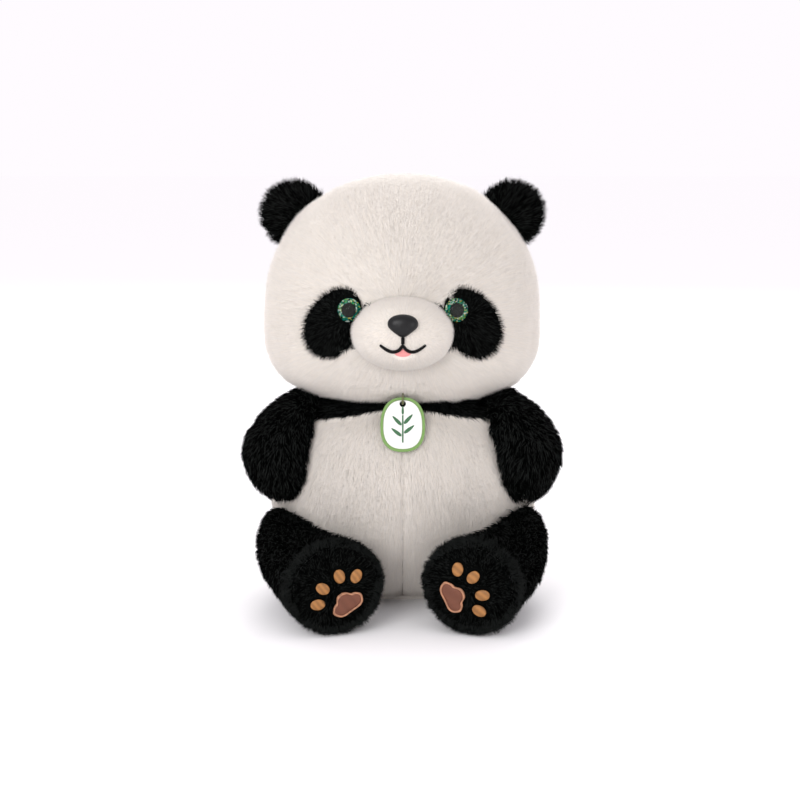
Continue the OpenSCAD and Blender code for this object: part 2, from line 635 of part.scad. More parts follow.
module seated() translate([0, seat_y, 0]) children();
seated() face_panel();
seated() head_back_panel();
seated() head_stuffing();
seated() muzzle_cover();
seated() muzzle_stuffing();
seated() nose();
seated() nose_washer();
seated() mouth_stitching();
seated() tongue();
seated() left_eye_patch();
seated() right_eye_patch();
seated() left_eye_glitter_disc();
seated() right_eye_glitter_disc();
seated() left_eye_pupil();
seated() right_eye_pupil();
seated() left_eye_dome();
seated() right_eye_dome();
seated() left_eye_washer();
seated() right_eye_washer();
seated() left_ear_front();
seated() left_ear_back();
seated() right_ear_front();
seated() right_ear_back();
seated() left_belly_panel();
seated() right_belly_panel();
seated() back_panel();
seated() shoulder_yoke();
seated() base_panel();
seated() torso_stuffing();
seated() bean_bag();
seated() neck_stitching();
seated() left_arm_cover();
seated() right_arm_cover();
seated() left_arm_stuffing();
seated() right_arm_stuffing();
seated() left_leg_cover();
seated() right_leg_cover();
seated() left_leg_stuffing();
seated() right_leg_stuffing();
seated() left_sole_panel();
seated() right_sole_panel();
seated() left_main_pad();
seated() right_main_pad();
seated() left_pad_edging();
seated() right_pad_edging();
seated() left_toe_pads();
seated() right_toe_pads();
seated() tag_cord();
seated() tag_plate();
seated() tag_rim();
seated() tag_motif();
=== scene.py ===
"""A seated plush panda: covers, pile, eyes, nose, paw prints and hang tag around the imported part."""

import math

import bpy
import numpy as np
from bpy.props import FloatProperty, FloatVectorProperty, IntProperty, PointerProperty
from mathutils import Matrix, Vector
from mathutils.bvhtree import BVHTree


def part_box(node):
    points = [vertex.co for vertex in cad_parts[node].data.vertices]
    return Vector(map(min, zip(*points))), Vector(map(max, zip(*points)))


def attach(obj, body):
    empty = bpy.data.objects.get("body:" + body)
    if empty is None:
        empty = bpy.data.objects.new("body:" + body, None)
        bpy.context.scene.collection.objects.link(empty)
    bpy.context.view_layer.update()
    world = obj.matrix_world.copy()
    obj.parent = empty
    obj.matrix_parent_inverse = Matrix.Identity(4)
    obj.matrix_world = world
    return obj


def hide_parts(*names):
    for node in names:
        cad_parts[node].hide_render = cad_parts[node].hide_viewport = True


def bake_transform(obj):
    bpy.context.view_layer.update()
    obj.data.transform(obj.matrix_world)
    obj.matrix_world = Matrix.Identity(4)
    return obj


bl_info = {
    "name": "Plush Panda",
    "version": (1, 0, 0),
    "blender": (4, 5, 0),
    "location": "3D View > Sidebar > Panda",
    "description": "Sews the covers, pile and trim of a seated plush panda",
    "category": "Add Mesh",
}

MM = 0.001
SIDES = (("left", 1.0), ("right", -1.0))
GOLDEN = (0.7548776662, 0.5698402910)

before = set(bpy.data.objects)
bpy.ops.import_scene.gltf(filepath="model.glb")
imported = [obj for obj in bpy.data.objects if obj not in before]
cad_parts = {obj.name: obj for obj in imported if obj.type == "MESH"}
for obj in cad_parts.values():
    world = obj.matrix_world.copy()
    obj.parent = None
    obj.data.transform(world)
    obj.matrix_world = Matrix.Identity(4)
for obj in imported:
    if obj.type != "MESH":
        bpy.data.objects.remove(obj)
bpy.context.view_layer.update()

# Where things are, in metres, as the part's own sizes give them
TORSO_Y = sum(corner.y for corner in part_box("base_panel")) / 2
BODY_TOP = 152 * MM
HEAD_MID = Vector((0, TORSO_Y, 202.1 * MM))
NOSE_MID = Vector((0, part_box("nose")[0].y, (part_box("nose")[0].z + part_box("nose")[1].z) / 2))
MUZZLE_HALF = Vector((32.5 * MM, 22.8 * MM))
MUZZLE_Z = HEAD_MID.z - 1.5 * MM
SIDE_SEAM = math.radians(8)
HEAD_SEAM = math.radians(95)
ARM_LINE = ((42, -4, 112), (93, -24, 150), (87.5, -46, 128), (86, -46, 81))
LEG_LINE = ((50, 5, 45), (99, -38, 51), (52, -90, 36), (45, -116, 34))


def bezier(line, side, n=60):
    """Points and directions along a limb's middle line, in metres."""
    c = np.array(line, float) * MM * [side, 1, 1] + [0, TORSO_Y, 0]
    s = np.linspace(0, 1, n)[:, None]
    q = 1 - s
    at = q**3 * c[0] + 3 * q * q * s * c[1] + 3 * q * s * s * c[2] + s**3 * c[3]
    way = q * q * (c[1] - c[0]) + 2 * q * s * (c[2] - c[1]) + s * s * (c[3] - c[2])
    return at, unit(way)


def unit(v):
    return v / np.maximum(np.linalg.norm(v, axis=-1, keepdims=True), 1e-12)


def along(v, n):
    """The part of v that lies in the surface whose outward direction is n."""
    return unit(v - (v * n).sum(-1, keepdims=True) * n)


# ---- shells: the outside of a cover, as arrays -------------------------------


class Shell:
    """A triangle surface: its points, its triangles and an outward direction at each point."""

    def __init__(self, points, faces):
        self.points, self.faces = points, faces
        corner = points[faces]
        wide = np.cross(corner[:, 1] - corner[:, 0], corner[:, 2] - corner[:, 0])
        self.areas = np.linalg.norm(wide, axis=1) / 2
        out = np.zeros_like(points)
        for k in range(3):
            np.add.at(out, faces[:, k], wide)
        self.out = unit(out)

    def tree(self):
        return BVHTree.FromPolygons(self.points.tolist(), self.faces.tolist())

    def only(self, keep):
        """The shell with just the faces that keep marks."""
        faces = self.faces[keep]
        used, back = np.unique(faces, return_inverse=True)
        return Shell(self.points[used], back.reshape(-1, 3))

    def finer(self, times=1):
        """Each triangle becomes four, and new points round the corners of the old ones."""
        shell = self
        for _ in range(times):
            p, n, f = shell.points, shell.out, shell.faces
            pairs = np.sort(np.concatenate([f[:, [0, 1]], f[:, [1, 2]], f[:, [2, 0]]]), axis=1)
            edges, back = np.unique(pairs, axis=0, return_inverse=True)
            a, b = edges.T
            mid = (p[a] + p[b]) / 2
            for k in (a, b):
                mid = mid - 0.4 * ((mid - p[k]) * n[k]).sum(1, keepdims=True) * n[k]
            m = back.reshape(3, -1).T + len(p)
            faces = np.concatenate([
                np.stack([f[:, 0], m[:, 0], m[:, 2]], 1),
                np.stack([f[:, 1], m[:, 1], m[:, 0]], 1),
                np.stack([f[:, 2], m[:, 2], m[:, 1]], 1), m])
            shell = Shell(np.concatenate([p, mid]), faces)
        return shell

    def moved(self, by):
        """The shell with each point moved outward by an amount."""
        points = self.points + by[:, None] * self.out
        points[:, 2] = np.maximum(points[:, 2], np.minimum(self.points[:, 2], 0.1 * MM))
        return Shell(points, self.faces)

    def joined(self, other):
        """This shell and another as one."""
        return Shell(np.concatenate([self.points, other.points]),
                     np.concatenate([self.faces, other.faces + len(self.points)]))

    def roots(self, count):
        """Evenly spread places on the surface, with the outward direction at each."""
        reach = np.cumsum(self.areas)
        k = np.arange(count)
        face = np.searchsorted(reach, (k + 0.5) / count * reach[-1]).clip(0, len(self.faces) - 1)
        u, v = ((0.5 + k * g) % 1 for g in GOLDEN)
        over = u + v > 1
        u, v = np.where(over, 1 - u, u), np.where(over, 1 - v, v)
        part = np.stack([1 - u - v, u, v], 1)[:, :, None]
        corner = self.faces[face]
        return (self.points[corner] * part).sum(1), unit((self.out[corner] * part).sum(1))


def read(*nodes):
    """One shell of CAD nodes' meshes, with the points at the same place joined."""
    points, faces, count = [], [], 0
    for name in nodes:
        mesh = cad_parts[name].data
        mesh.calc_loop_triangles()
        p = np.zeros(len(mesh.vertices) * 3)
        mesh.vertices.foreach_get("co", p)
        f = np.zeros(len(mesh.loop_triangles) * 3, int)
        mesh.loop_triangles.foreach_get("vertices", f)
        points.append(p.reshape(-1, 3))
        faces.append(f.reshape(-1, 3) + count)
        count += len(points[-1])
    points, faces = np.concatenate(points), np.concatenate(faces)
    _, first, back = np.unique(np.round(points * 1e6).astype(int), axis=0,
                               return_index=True, return_inverse=True)
    faces = back.reshape(-1)[faces]
    flat = (faces[:, 0] == faces[:, 1]) | (faces[:, 1] == faces[:, 2]) | (faces[:, 2] == faces[:, 0])
    return Shell(points[first], faces[~flat])


def outside(node, *fillings, wall=3.1 * MM):
    """The outer surface of a cover: the faces that a wall keeps away from its filling."""
    shell = read(node)
    tree = read(*fillings).tree()
    far = np.array([tree.find_nearest(p)[3] for p in shell.points]) > wall
    return shell.only(far[shell.faces].all(1))


def facing(node, way, least=0.3):
    """The faces of a node that look in a direction, given as a function of the face centres."""
    shell = read(node)
    corner = shell.points[shell.faces]
    n = unit(np.cross(corner[:, 1] - corner[:, 0], corner[:, 2] - corner[:, 0]))
    return shell.only((n * way(corner.mean(1))).sum(1) > least)


def smooth(x):
    """Goes from 0 to 1 as x does, and starts and stops gently."""
    x = np.clip(x, 0, 1)
    return x * x * (3 - 2 * x)


def waves(p, length, seed, rows=3):
    """A smooth field of numbers from about -1 to 1 that changes over a length."""
    rng = np.random.default_rng(seed)
    total = np.zeros((len(p), rows))
    for _ in range(6):
        way = rng.normal(size=(3, rows))
        way /= np.linalg.norm(way, axis=0)
        pitch = length * rng.uniform(0.7, 1.5)
        total += np.sin(p @ (way * 2 * math.pi / pitch) + rng.uniform(0, 6.28, rows))
    return total / 3.0


# ---- meshes ----------------------------------------------------------------


def mesh_of(name, points, faces, finish, smooth=True, normals=None):
    mesh = bpy.data.meshes.new(name)
    mesh.vertices.add(len(points))
    mesh.vertices.foreach_set("co", np.ascontiguousarray(points, np.float32).ravel())
    mesh.loops.add(faces.size)
    mesh.loops.foreach_set("vertex_index", np.ascontiguousarray(faces, np.int32).ravel())
    mesh.polygons.add(len(faces))
    mesh.polygons.foreach_set("loop_start", np.arange(0, faces.size, faces.shape[1], dtype=np.int32))
    mesh.update(calc_edges=True)
    mesh.polygons.foreach_set("use_smooth", np.full(len(mesh.polygons), smooth))
    if normals is not None:
        mesh.normals_split_custom_set_from_vertices(normals.tolist())
    mesh.materials.append(finish)
    piece = bpy.data.objects.new(name, mesh)
    bpy.context.scene.collection.objects.link(piece)
    return piece


def closed(shell, thick):
    """A cover with a thickness, closed round its edges."""
    p, f, n = shell.points, shell.faces, shell.out
    count = len(p)
    edges = np.concatenate([f[:, [0, 1]], f[:, [1, 2]], f[:, [2, 0]]])
    key = np.sort(edges, axis=1)
    _, back, times = np.unique(key, axis=0, return_inverse=True, return_counts=True)
    rim = edges[times[back.reshape(-1)] == 1]
    wall = np.concatenate([np.stack([rim[:, 1], rim[:, 0], rim[:, 0] + count], 1),
                           np.stack([rim[:, 1], rim[:, 0] + count, rim[:, 1] + count], 1)])
    return np.concatenate([p, p - thick * n]), np.concatenate([f, f[:, ::-1] + count, wall])


def place(piece, held, replaces=()):
    """Puts a finished piece on a body; a piece held by two bodies keeps its transform but is put on
    neither.
    """
    if isinstance(held, str):
        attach(piece, held)
    else:
        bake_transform(piece)
    if replaces:
        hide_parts(*replaces)
    return piece


# ---- finishes --------------------------------------------------------------


class Wire:
    """A socket that can be added, subtracted and multiplied, each adding a Math node."""

    def __init__(self, finish, socket):
        self.finish, self.socket = finish, socket

    def _math(self, kind, *values):
        return self.finish.node("ShaderNodeMath", {"operation": kind}, *values)

    def __add__(self, other):
        return self._math("ADD", self, other)

    def __radd__(self, other):
        return self._math("ADD", other, self)

    def __sub__(self, other):
        return self._math("SUBTRACT", self, other)

    def __mul__(self, other):
        return self._math("MULTIPLY", self, other)

    def __rmul__(self, other):
        return self._math("MULTIPLY", other, self)

    def clipped(self):
        return self.finish.node("ShaderNodeClamp", {}, self)


class Finish:
    """A material that is built from shader nodes."""

    def __init__(self, name):
        self.material = bpy.data.materials.new(name)
        self.material.use_nodes = True
        self.tree = self.material.node_tree
        self.shader = self.tree.nodes["Principled BSDF"]

    def node(self, kind, settings, *values, out=0, **named):
        made = self.tree.nodes.new(kind)
        for key, value in settings.items():
            if key == "stops":
                ramp = made.color_ramp
                while len(ramp.elements) < len(value):
                    ramp.elements.new(0.5)
                for stop, (at, colour) in zip(ramp.elements, value):
                    stop.position, stop.color = at, (*colour, 1)
            else:
                setattr(made, key, value)
        for k, value in list(enumerate(values)) + list(named.items()):
            self.give(made.inputs[k if isinstance(k, int) else k.replace("_", " ")], value)
        return Wire(self, made.outputs[out])

    def give(self, socket, value):
        if isinstance(value, Wire):
            self.tree.links.new(value.socket, socket)
        elif value is not None:
            socket.default_value = value

    def mix(self, share, first, second, way="MIX"):
        made = self.node("ShaderNodeMix", {"data_type": "RGBA", "blend_type": way}, out=2)
        inputs = made.socket.node.inputs
        for socket, value in ((inputs[0], share), (inputs[6], first), (inputs[7], second)):
            is_colour = isinstance(value, (tuple, list)) and len(value) == 3
            self.give(socket, (*value, 1) if is_colour else value)
        return made

    def place(self, scale=(1, 1, 1), turn=(0, 0, 0)):
        spot = self.node("ShaderNodeTexCoord", {}, out=3)
        return self.node("ShaderNodeMapping", {}, spot, Scale=scale, Rotation=turn)

    def noise(self, size, detail=3.0, at=None, rough=0.5):
        return self.node("ShaderNodeTexNoise", {}, Vector=at or self.place(), Scale=1 / size,
                         Detail=detail, Roughness=rough)

    def bump(self, height, deep, strength=1.0):
        return self.node("ShaderNodeBump", {}, Strength=strength, Distance=deep, Height=height)

    def set(self, **values):
        for name, value in values.items():
            if isinstance(value, (tuple, list)) and len(value) == 3 and name != "Subsurface_Radius":
                value = (*value, 1)
            self.give(self.shader.inputs[name.replace("_", " ")], value)
        return self.material


def scaled(colour, by):
    return tuple(min(1.0, c * by) for c in colour)


def pile_finish(name, colour, sheen, streak, specular=0.3):
    """Fine fibres of one shade, whose gloss and grain change along the pile."""
    f = Finish(name)
    grain = f.noise(0.7 * MM, detail=2)
    return f.set(Base_Color=colour, Roughness=0.62 + 0.3 * grain, Normal=f.bump(grain, 0.1 * MM, streak),
                 Sheen_Weight=sheen, Sheen_Roughness=0.5, Specular_IOR_Level=specular)


def backing_finish(name, colour, dark):
    """The knitted ground that the pile grows from."""
    f = Finish(name)
    knit = f.noise(0.8 * MM, detail=4, rough=0.65)
    patch = f.noise(14 * MM, detail=2)
    shade = f.mix((knit * 0.7 + patch * 0.3).clipped(), dark, colour)
    return f.set(Base_Color=shade, Roughness=0.95, Normal=f.bump(knit, 0.5 * MM), Specular_IOR_Level=0.03)


def thread_finish(name, colour, deep, pitch=0.45 * MM, sheen=0.25, specular=0.6):
    """Embroidery thread, with its twist as fine ridges."""
    f = Finish(name)
    ridge = f.node("ShaderNodeTexWave", {"wave_type": "BANDS", "bands_direction": "DIAGONAL"},
                   Vector=f.place(), Scale=0.05 / pitch, Distortion=1.5, Detail=2.0)
    worn = f.noise(2 * MM)
    shade = f.mix((ridge * 0.6 + worn * 0.4).clipped(), scaled(colour, deep), colour)
    return f.set(Base_Color=shade, Roughness=0.45 + 0.25 * worn, Normal=f.bump(ridge, 0.15 * MM),
                 Sheen_Weight=sheen, Specular_IOR_Level=specular)


def plastic_finish(name, colour, rough, grain_deep, coat=0.0, specular=0.5):
    f = Finish(name)
    grain = f.noise(0.5 * MM, detail=2)
    smear = f.noise(9 * MM, detail=3)
    shade = f.mix(smear, scaled(colour, 0.85), colour)
    return f.set(Base_Color=shade, Roughness=rough + 0.12 * smear, Normal=f.bump(grain, grain_deep),
                 Coat_Weight=coat, Coat_Roughness=0.08, Specular_IOR_Level=specular)


# ---- pile ------------------------------------------------------------------


class Pile:
    """What the fibres of one cover are like: how many, how long, and how they lie."""

    def __init__(self, per_mm2, length, lean, width, tips=0.35, curl=0.25, clump=0.3, clump_size=7 * MM,
                 segments=1, stray=0.18, soft=0.75):
        self.per_mm2, self.length, self.lean, self.width = per_mm2, length, lean, width
        self.tips, self.curl, self.segments = tips, curl, segments
        self.clump, self.clump_size = clump, clump_size
        self.stray, self.soft = stray, soft


TUFT_FACES = {
    1: np.array([(2, 1, 0), (0, 1, 3), (1, 2, 3), (2, 0, 3)]),
    2: np.array([(2, 1, 0)] + [t for a, b in ((0, 1), (1, 2), (2, 0))
                               for t in ((a, b, b + 3), (a, b + 3, a + 3), (a + 3, b + 3, 6))]),
}
MOST_FACES = 190000


def room(points, out, solids, most):
    """How far each place can reach outward before it meets other solids."""
    gap = np.full(len(points), most)
    if solids is None:
        return gap
    for k, (p, n) in enumerate(zip(points + 0.2 * MM * out, out)):
        hit = solids.ray_cast(Vector(p), Vector(n), most)[3]
        if hit is not None:
            gap[k] = hit
    return gap


def fibres(points, out, way, pile, seed, trim=None, gap=None, floor=0.35 * MM):
    """The points of closed, tapered tufts that grow from a surface and lie along a direction."""
    rng = np.random.default_rng(seed)
    count = len(points)
    swirl = waves(points, pile.clump_size, seed + 1)
    drift = waves(points, 40 * MM, seed + 2)
    way = along(way + pile.clump * swirl + 0.15 * drift + pile.stray * rng.normal(size=(count, 3)), out)
    long = pile.length * (1 + pile.tips * (rng.random(count) - 0.6)) * (1 + 0.12 * drift[:, 0])
    if trim is not None:
        long = long * trim
    lean = pile.lean + 0.9 * pile.stray * rng.normal(size=count) + 0.35 * pile.clump * swirl[:, 0]
    if gap is not None:
        tall = np.maximum(0.5 * MM, 0.55 * gap)
        lean = np.maximum(lean, np.arccos(np.clip(tall / long, 0.02, 1)))
    lean = np.clip(lean, 0.05, 1.5)[:, None]
    long = long[:, None]
    first = out * np.cos(lean - pile.curl) + way * np.sin(lean - pile.curl)
    tip_lean = np.minimum(lean + pile.curl, 1.52)
    last = out * np.cos(tip_lean) + way * np.sin(tip_lean)
    side = unit(np.cross(first, rng.normal(size=(count, 3))))
    other = np.cross(first, side)
    thick = pile.width * (0.75 + 0.5 * rng.random(count))[:, None]
    ring = [math.cos(a) * side + math.sin(a) * other for a in (0, 2 * math.pi / 3, 4 * math.pi / 3)]
    low = points - 0.4 * MM * out
    if pile.segments == 1:
        tip = low + long * unit(first + last)
        rows = [low + r * thick / 2 for r in ring] + [tip]
    else:
        mid = low + 0.5 * long * first
        rows = ([low + r * thick / 2 for r in ring] + [mid + r * thick * 0.42 for r in ring]
                + [mid + 0.5 * long * last])
    verts = np.stack(rows, 1)
    verts[:, :, 2] = np.maximum(verts[:, :, 2], floor)
    sides = np.stack(ring * pile.segments + [first], 1)
    facing_out = unit(pile.soft * out[:, None] + (1 - pile.soft) * sides)
    return verts, facing_out


def grow(name, shell, pile, combed, finishes, held, slot, seed, keep=None, trim=None, solids=None):
    """Grows the pile of a cover as a few pieces, each of its own shade."""
    points, out = shell.roots(int(shell.areas.sum() * 1e6 * pile.per_mm2 * pile_density()))
    if keep is not None:
        wanted = keep(points, out)
        points, out = points[wanted], out[wanted]
    order = np.random.default_rng(seed).permutation(len(points))
    points, out = points[order], out[order]
    gap = room(points, out, solids, 12 * MM) if solids is not None else None
    short = trim(points) if trim is not None else None
    verts, normals = fibres(points, out, combed(points), pile, seed + 10, short, gap)
    faces = TUFT_FACES[pile.segments]
    count = max(len(finishes), math.ceil(len(verts) * len(faces) / MOST_FACES))
    pieces = []
    for k in range(count):
        some = verts[k::count]
        stride = np.arange(len(some))[:, None, None] * verts.shape[1]
        piece = mesh_of(f"{name}_{k + 1}", some.reshape(-1, 3), (faces[None] + stride).reshape(-1, 3),
                        finishes[k % len(finishes)], normals=normals[k::count].reshape(-1, 3))
        pieces.append(place(piece, held))
    return pieces


def pile_density():
    return bpy.context.scene.panda_sizes.pile_density


# ---- settings --------------------------------------------------------------


class PandaSizes(bpy.types.PropertyGroup):
    pile_density: FloatProperty(name="Pile density", description="Share of the full number of tufts",
                                default=1.0, min=0.1, max=1.5)
    white_pile: FloatProperty(name="White pile", description="Length of the white pile", default=9.0 * MM,
                              unit="LENGTH")
    black_pile: FloatProperty(name="Black pile", description="Length of the black pile", default=8.8 * MM,
                              unit="LENGTH")
    muzzle_pile: FloatProperty(name="Muzzle pile", description="Length of the short pile on the muzzle",
                               default=4.2 * MM, unit="LENGTH")
    sole_pile: FloatProperty(name="Sole pile", description="Length of the pile on the soles",
                             default=4.5 * MM, unit="LENGTH")
    seam_dip: FloatProperty(name="Seam dip", description="How far the cloth is drawn in along a seam",
                            default=1.6 * MM, unit="LENGTH")
    seed: IntProperty(name="Seed", description="Start of every random draw", default=7)


class PandaColours(bpy.types.PropertyGroup):
    white: FloatVectorProperty(name="White pile", description="Colour of the white pile", subtype="COLOR",
                               default=(0.88, 0.825, 0.755))
    black: FloatVectorProperty(name="Black pile", description="Colour of the black pile", subtype="COLOR",
                               default=(0.0022, 0.0026, 0.0024))
    nose: FloatVectorProperty(name="Nose", description="Colour of the nose", subtype="COLOR",
                              default=(0.005, 0.005, 0.0055))
    pad: FloatVectorProperty(name="Main pad", description="Colour of the satin main pads", subtype="COLOR",
                             default=(0.15, 0.053, 0.030))
    edging: FloatVectorProperty(name="Pad edging", description="Colour of the thread round the main pads",
                                subtype="COLOR", default=(0.46, 0.21, 0.11))
    toes: FloatVectorProperty(name="Toe pads", description="Colour of the toe pads' thread",
                              subtype="COLOR", default=(0.38, 0.165, 0.045))
    tongue: FloatVectorProperty(name="Tongue", description="Colour of the tongue", subtype="COLOR",
                                default=(0.78, 0.28, 0.27))
    tag_rim: FloatVectorProperty(name="Tag rim", description="Colour of the tag's rim", subtype="COLOR",
                                 default=(0.13, 0.26, 0.05))


def sizes():
    return bpy.context.scene.panda_sizes


def colours():
    return bpy.context.scene.panda_colours


SHADES = {}


def white_shades():
    if "white" not in SHADES:
        c = tuple(colours().white)
        SHADES["white"] = [
            pile_finish("white_pile_bright", scaled(c, 1.05), 0.25, 0.4),
            pile_finish("white_pile_warm", (c[0], c[1] * 0.985, c[2] * 0.96), 0.25, 0.4),
            pile_finish("white_pile_cool", (c[0] * 0.96, c[1] * 0.97, c[2] * 0.985), 0.25, 0.4),
            pile_finish("white_pile_soft", scaled(c, 0.93), 0.25, 0.4)]
    return SHADES["white"]


def black_shades():
    if "black" not in SHADES:
        c = tuple(colours().black)
        SHADES["black"] = [
            pile_finish("black_pile_deep", scaled(c, 0.3), 0.0, 0.4, 0.005),
            pile_finish("black_pile_even", scaled(c, 0.6), 0.0, 0.4, 0.02),
            # The grey share of the black pile is partly its uneven tone and partly a painted highlight:
            # lighter, glossier tufts, as if light caught the fibres.
            pile_finish("black_pile_grey_highlight", scaled(c, 3.5), 0.0, 0.4, 0.1)]
    return SHADES["black"]


def white_ground():
    if "white_ground" not in SHADES:
        c = tuple(colours().white)
        SHADES["white_ground"] = backing_finish("white_knit", scaled(c, 0.95), scaled(c, 0.7))
    return SHADES["white_ground"]


def black_ground():
    if "black_ground" not in SHADES:
        c = tuple(colours().black)
        SHADES["black_ground"] = backing_finish("black_knit", c, scaled(c, 0.4))
    return SHADES["black_ground"]


# ---- seams -----------------------------------------------------------------


def head_seam(p):
    """How far each point is from the seam between the face and the back of the head."""
    d = p - np.array(HEAD_MID)
    r = np.linalg.norm(d, axis=1)
    return np.abs(np.arccos(np.clip(-d[:, 1] / r, -1, 1)) - HEAD_SEAM) * r


def belly_seam(p):
    """How far each point is from the seam down the middle of the belly."""
    return np.where(p[:, 1] < TORSO_Y, np.abs(p[:, 0]), 1.0)


def side_seams(p):
    """How far each point is from the seams between the belly and the back."""
    return np.abs(np.abs(p[:, 0]) * math.sin(SIDE_SEAM) - (p[:, 1] - TORSO_Y) * math.cos(SIDE_SEAM))


def dip(d, width):
    return np.exp(-((d / width) ** 2))


def sewn(shell, seams, seed, lumps=0.7 * MM):
    """A cover drawn in at its seams and a little uneven where the filling pushes."""
    by = lumps * waves(shell.points, 45 * MM, seed, rows=1)[:, 0]
    for seam in seams:
        by = by - sizes().seam_dip * dip(seam(shell.points), 3.5 * MM)
    return shell.moved(by)


def trimmed(seams, least=0.45):
    """The pile is shorter where it is caught in a seam."""
    def share(p):
        total = np.ones(len(p))
        for seam in seams:
            total = total * (1 - (1 - least) * dip(seam(p), 2.6 * MM))
        return total
    return share


def near_floor(share):
    """The pile is pressed short where the toy sits."""
    return lambda p: share(p) * np.clip(p[:, 2] / (22 * MM), 0.3, 1)


def solids(*nodes):
    return read(*nodes).tree()


def away_from(tree, least):
    """Marks the places that are at least a distance from other pieces."""
    def keep(p, out):
        found = [tree.find_nearest(Vector(q), least) for q in p]
        return np.array([f[0] is None for f in found])
    return keep


# ---- head ------------------------------------------------------------------

PATCHES = ("left_eye_patch", "right_eye_patch")
EARS = ("left_ear_front", "left_ear_back", "right_ear_front", "right_ear_back")
TORSO_SIDES = ("left_arm_cover", "right_arm_cover", "left_leg_cover", "right_leg_cover", "face_panel",
               "head_back_panel")


def in_muzzle(p, grow=1.0):
    across = (p[:, 0] / (MUZZLE_HALF.x * grow)) ** 2 + ((p[:, 2] - MUZZLE_Z) / (MUZZLE_HALF.y * grow)) ** 2
    return (across < 1) & (p[:, 1] < TORSO_Y)


def head_comb(p):
    """The head's pile lies away from the nose, and falls towards the back."""
    back = np.clip((p[:, 1] - TORSO_Y) / 0.07, 0, 1)[:, None]
    from_nose = unit(p - np.array([0, NOSE_MID.y + 0.015, NOSE_MID.z - 0.004]))
    return from_nose + back * np.array([0, 0, -1.6])


class PANDA_OT_head_covers(bpy.types.Operator):
    """Sews the face and the back of the head, with their long white pile"""
    bl_idname = "panda.head_covers"
    bl_label = "Head covers"

    def execute(self, context):
        others = solids(*PATCHES, *EARS)
        below = solids("shoulder_yoke", "left_arm_cover", "right_arm_cover")
        clear = away_from(others, 1.6 * MM)
        by_patch = away_from(solids(*PATCHES), 6.3 * MM)
        by_muzzle = away_from(solids("muzzle_cover"), 5.5 * MM)
        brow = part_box("left_eye_glitter_disc")[1].z + 2 * MM
        pile = Pile(3.0, sizes().white_pile, 1.02, 0.45 * MM, clump=0.08, tips=0.2, stray=0.07, soft=0.85)
        for node, name, seed in (("face_panel", "face", 11), ("head_back_panel", "head_back", 12)):
            shell = sewn(outside(node, "head_stuffing").finer(2), (head_seam,), seed)
            cover = mesh_of(f"{name}_cover", *closed(shell, 1.6 * MM), white_ground())
            place(cover, "head", (node,))
            grow(f"{name}_pile", shell, pile, head_comb, white_shades(), "head", "white_plush", seed,
                 keep=lambda p, out: (~in_muzzle(p, 0.97) & clear(p, out)
                                      & (by_patch(p, out) | by_muzzle(p, out) | (p[:, 2] > brow))),
                 trim=trimmed((head_seam,), 0.8),
                 solids=below)
        return {"FINISHED"}


class PANDA_OT_muzzle(bpy.types.Operator):
    """Makes the muzzle, with its short dense pile"""
    bl_idname = "panda.muzzle"
    bl_label = "Muzzle"

    def execute(self, context):
        shell = outside("muzzle_cover", "muzzle_stuffing", wall=1.5 * MM).finer(2)
        cover = mesh_of("muzzle_skin", *closed(shell, 1.2 * MM), white_ground())
        place(cover, "head", ("muzzle_cover",))
        clear = away_from(solids("nose", "mouth_stitching", "tongue"), 1.5 * MM)
        pile = Pile(4.5, sizes().muzzle_pile, 0.85, 0.38 * MM, clump=0.06, tips=0.2, stray=0.08)
        grow("muzzle_pile", shell, pile, lambda p: unit(p - np.array(NOSE_MID) + [0, 0.012, 0]),
             white_shades(), "head", "short_white_plush", 21, keep=clear,
             trim=lambda p: np.clip(0.45 + 0.9 * (p[:, 1] - NOSE_MID.y) / 0.03, 0.45, 1.5))
        return {"FINISHED"}


class PANDA_OT_eye_patches(bpy.types.Operator):
    """Makes the black patches round the eyes"""
    bl_idname = "panda.eye_patches"
    bl_label = "Eye patches"

    def execute(self, context):
        face = outside("face_panel", "head_stuffing").finer(2)
        muzzle = solids("muzzle_cover")
        for side, sign in SIDES:
            node = f"{side}_eye_patch"
            low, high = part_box(f"{side}_eye_glitter_disc")
            eye = (low + high) / 2
            mid = sum(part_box(node), Vector()) / 2
            head = np.array(HEAD_MID)
            shell = facing(node, lambda c: unit(c - head), 0.35).finer(2)
            side_face = face.only((sign * face.points[:, 0] > 0)[face.faces].all(1))
            by_patch, by_muzzle = (np.array([tree.find_nearest(Vector(q), reach)[0] is not None
                                             for q in side_face.points])
                                   for tree, reach in ((solids(node), 6.3 * MM), (muzzle, 5.5 * MM)))
            between = by_patch & by_muzzle & (side_face.points[:, 2] < high.z + 2 * MM)
            bridge = side_face.only(between[side_face.faces].all(1))
            shell = shell.joined(bridge.moved(np.full(len(bridge.points), 0.4 * MM)))
            cover = mesh_of(f"{node}_cloth", *closed(shell, 1.2 * MM), black_ground())
            place(cover, "head", (node,))
            clear = away_from(solids(f"{side}_eye_glitter_disc", f"{side}_eye_dome"), 0.7 * MM)
            centre = np.array(eye.lerp(mid, 0.55))
            pile = Pile(2.8, sizes().black_pile * 0.55, 0.9, 0.5 * MM, clump=0.3, tips=0.5)
            eye_at = np.array(eye)
            grow(f"{node}_pile", shell, pile, lambda p: unit(p - centre), black_shades(),
                 "head", "black_plush", 31 if sign > 0 else 32, keep=clear,
                 trim=lambda p: np.clip((np.linalg.norm(p - eye_at, axis=1) - 6 * MM) / (9 * MM), 0.3, 1))
        return {"FINISHED"}


